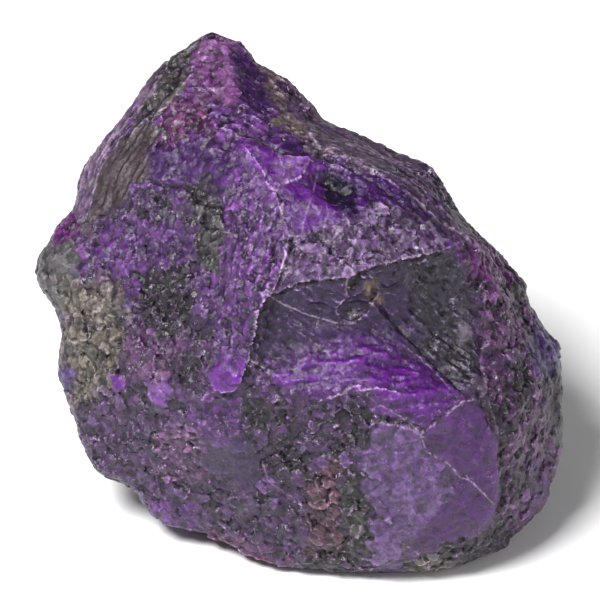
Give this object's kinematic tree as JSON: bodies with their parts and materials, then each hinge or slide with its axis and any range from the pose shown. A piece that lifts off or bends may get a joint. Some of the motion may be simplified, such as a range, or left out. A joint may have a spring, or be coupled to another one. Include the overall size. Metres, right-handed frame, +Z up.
{
  "type": "rough sugilite stone",
  "caption": "Broken lump of rough purple sugilite with a raised flake, a shell-shaped hollow, a smooth lower face and granular flanks, resting on a small flat spot.",
  "frame": {"origin": "middle of the footprint's box, on the surface that the stone rests on", "axes": "+Z up as it rests, +X across the stone's greatest width, -Y towards its best side"},
  "size_m": [0.0422, 0.0324, 0.0334],
  "materials": {
    "sugilite": "glassy broken surface, mottled violet, slate and black with tan matrix"
  },
  "bodies": {
    "root": {"sugilite": "sugilite"}
  },
  "joints": []
}
